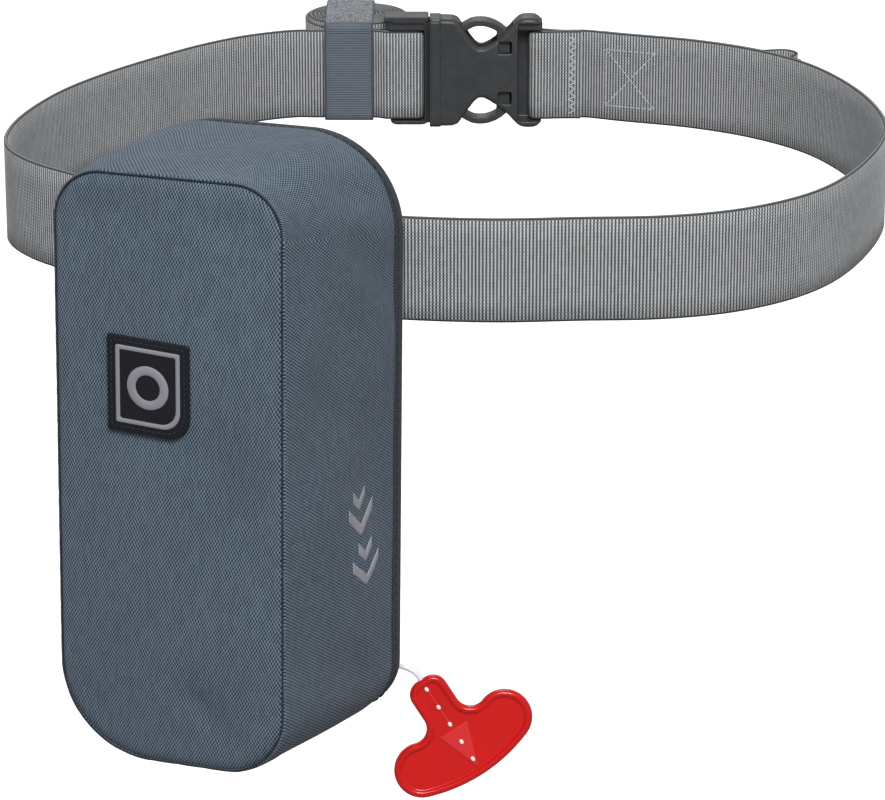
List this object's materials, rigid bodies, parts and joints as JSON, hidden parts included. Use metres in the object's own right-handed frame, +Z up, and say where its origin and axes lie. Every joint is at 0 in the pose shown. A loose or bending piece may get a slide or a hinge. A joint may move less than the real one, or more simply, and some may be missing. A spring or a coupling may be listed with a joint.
{
  "type": "inflatable belt pack",
  "caption": "Hollow rounded fabric pouch with a red pull handle, on a closed webbing waist belt with a side-release buckle, a rolled webbing tail and a hook-and-loop keeper.",
  "frame": {"origin": "middle of the waist loop at the mid height of the webbing", "axes": "+Z up as worn, the pouch hangs on the -Y side and faces -Y, the buckle is on the +Y side"},
  "size_m": [0.3256, 0.408, 0.2485],
  "materials": {
    "pouch_cloth": "slate blue woven cloth",
    "binding_cloth": "dark twill tape",
    "webbing": "grey ribbed webbing",
    "keeper_cloth": "ribbed tape with a loop pile",
    "buckle_plastic": "moulded charcoal plastic",
    "handle_plastic": "glossy red plastic",
    "cord_coating": "pale coated cord",
    "patch_rubber": "black moulded rubber with a grey relief",
    "eyelet_metal": "dark plated metal"
  },
  "bodies": {
    "root": {"belt_webbing": "webbing", "accessory_tab": "webbing", "roll_keeper": "keeper_cloth", "buckle_female": "buckle_plastic", "buckle_male": "buckle_plastic", "front_panel": "pouch_cloth", "side_wall": "pouch_cloth", "back_panel": "pouch_cloth", "back_binding": "binding_cloth", "belt_loop_left": "binding_cloth", "belt_loop_right": "binding_cloth", "front_patch": "patch_rubber", "cord_eyelet": "eyelet_metal", "pull_cord": "cord_coating", "pull_handle": "handle_plastic"}
  },
  "joints": []
}
